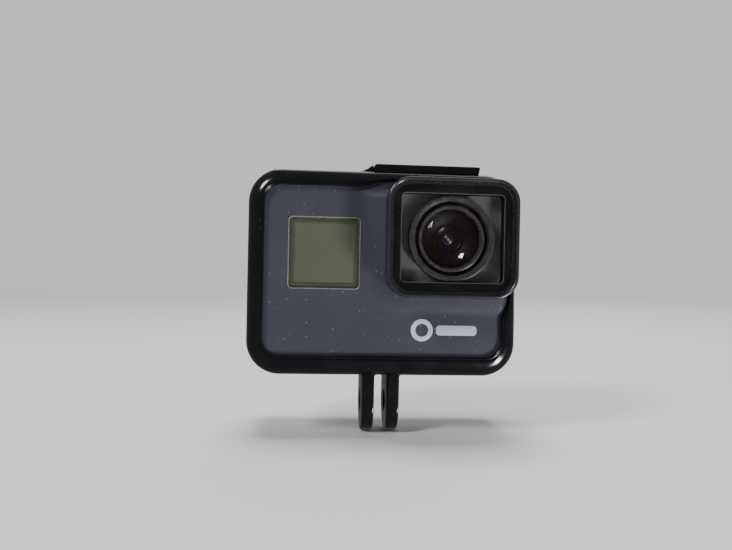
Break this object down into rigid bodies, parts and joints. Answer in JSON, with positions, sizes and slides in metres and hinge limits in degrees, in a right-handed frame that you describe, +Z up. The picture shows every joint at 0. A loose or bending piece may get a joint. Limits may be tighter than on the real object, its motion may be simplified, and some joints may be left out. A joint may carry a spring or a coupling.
{
  "type": "action camera",
  "caption": "Compact action camera clipped in a glossy surround frame with a top latch lever and a two-prong finger mount",
  "frame": {"origin": "centre of the finger mount's cross bore, midway between the prongs", "axes": "+X along the bore, to the right seen from the front; +Y from the lens to the rear display; +Z up"},
  "size_m": [0.066, 0.033, 0.067],
  "materials": {
    "gloss_shell": "gloss black moulded polycarbonate with fine scratches",
    "soft_face": "soft-touch dark slate grey with fine dust and scuffs",
    "housing_shell": "fine-textured black moulded plastic",
    "cover_metal": "satin dark grey anodised rim",
    "cover_glass": "clear coated cover glass",
    "lens_glass": "coated optical glass",
    "lens_black": "matt black lens barrel",
    "screen_glass": "olive reflective display behind a clear window",
    "screen_rim": "thin bright bevel",
    "rear_glass": "black touch glass",
    "badge_ink": "pale blue-grey printed badge",
    "rubber_seal": "silicone gasket",
    "board": "solder-masked circuit board",
    "metal_part": "stamped steel",
    "contact_gold": "gold-plated contacts",
    "inner_black": "moulded black plastic",
    "battery_wrap": "printed battery case",
    "white_film": "white film",
    "button_red": "red record ring"
  },
  "bodies": {
    "frame": {"frame_shell": "gloss_shell", "mount_fingers": "gloss_shell", "latch_pin": "metal_part"},
    "latch": {"latch_lever": "gloss_shell"},
    "camera": {"front_cover": "soft_face", "rear_housing": "housing_shell", "housing_seal": "rubber_seal", "face_badge": "badge_ink", "screen_bezel": "screen_rim", "screen_window": "screen_glass", "status_lcd": "screen_glass", "lcd_backlight": "white_film", "lens_plate": "lens_black", "bayonet_collar": "lens_black", "lens_trim_ring": "lens_black", "lens_barrel": "lens_black", "lens_seal": "rubber_seal", "lens_spacer": "lens_black", "front_element": "lens_glass", "lens_baffle": "lens_black", "second_element": "lens_glass", "rear_elements": "lens_glass", "ir_filter": "lens_glass", "image_sensor": "rear_glass", "sensor_holder": "inner_black", "sensor_board": "board", "main_board": "board", "processor": "inner_black", "processor_shield": "metal_part", "heat_spreader": "metal_part", "board_screws": "metal_part", "battery_bay": "inner_black", "battery": "battery_wrap", "battery_contacts": "contact_gold", "battery_pull_tab": "white_film", "battery_door": "housing_shell", "battery_door_seal": "rubber_seal", "card_slot": "metal_part", "memory_card": "inner_black", "port_board": "board", "usb_socket": "metal_part", "video_socket": "metal_part", "touch_panel": "rear_glass", "touch_glass": "rear_glass", "speaker": "inner_black", "speaker_mesh": "metal_part", "microphones": "metal_part", "shutter_switch": "metal_part", "mode_switch": "metal_part", "antenna": "contact_gold", "status_light": "button_red"},
    "lens_cover": {"cover_frame": "cover_metal", "cover_glass": "cover_glass"},
    "shutter": {"shutter_button": "soft_face", "shutter_ring": "button_red"},
    "mode_key": {"mode_button": "soft_face"},
    "port_door": {"side_door": "soft_face", "side_door_seal": "rubber_seal"},
    "port_door_key": {"side_door_latch": "housing_shell"},
    "battery_key": {"battery_door_catch": "housing_shell"}
  },
  "joints": [
    {"name": "latch_hinge", "type": "hinge", "parent": "frame", "child": "latch", "pos_m": [0.0225, 0, 0.05843], "axis": [0, 1, 0], "range_deg": [0, 110]},
    {"name": "camera_slide", "type": "slide", "parent": "frame", "child": "camera", "axis": [0, 1, 0], "range_m": [0, 0.036]},
    {"name": "lens_cover_twist", "type": "hinge", "parent": "camera", "child": "lens_cover", "pos_m": [0.01515, -0.016, 0.041], "axis": [0, 1, 0], "range_deg": [0, 90]},
    {"name": "shutter_press", "type": "slide", "parent": "camera", "child": "shutter", "axis": [0, 0, -1], "range_m": [0, 0.0004], "stiffness_N_per_m": 1500},
    {"name": "mode_press", "type": "slide", "parent": "camera", "child": "mode_key", "axis": [1, 0, 0], "range_m": [0, 0.0004], "stiffness_N_per_m": 1500},
    {"name": "side_door_hinge", "type": "hinge", "parent": "camera", "child": "port_door", "pos_m": [0.03025, 0.0043, 0.0178], "axis": [0, 1, 0], "range_deg": [0, 90]},
    {"name": "side_door_latch_slide", "type": "slide", "parent": "port_door", "child": "port_door_key", "axis": [0, 0, -1], "range_m": [0, 0.0012], "stiffness_N_per_m": 200},
    {"name": "battery_catch_slide", "type": "slide", "parent": "camera", "child": "battery_key", "axis": [1, 0, 0], "range_m": [0, 0.001], "stiffness_N_per_m": 200}
  ]
}
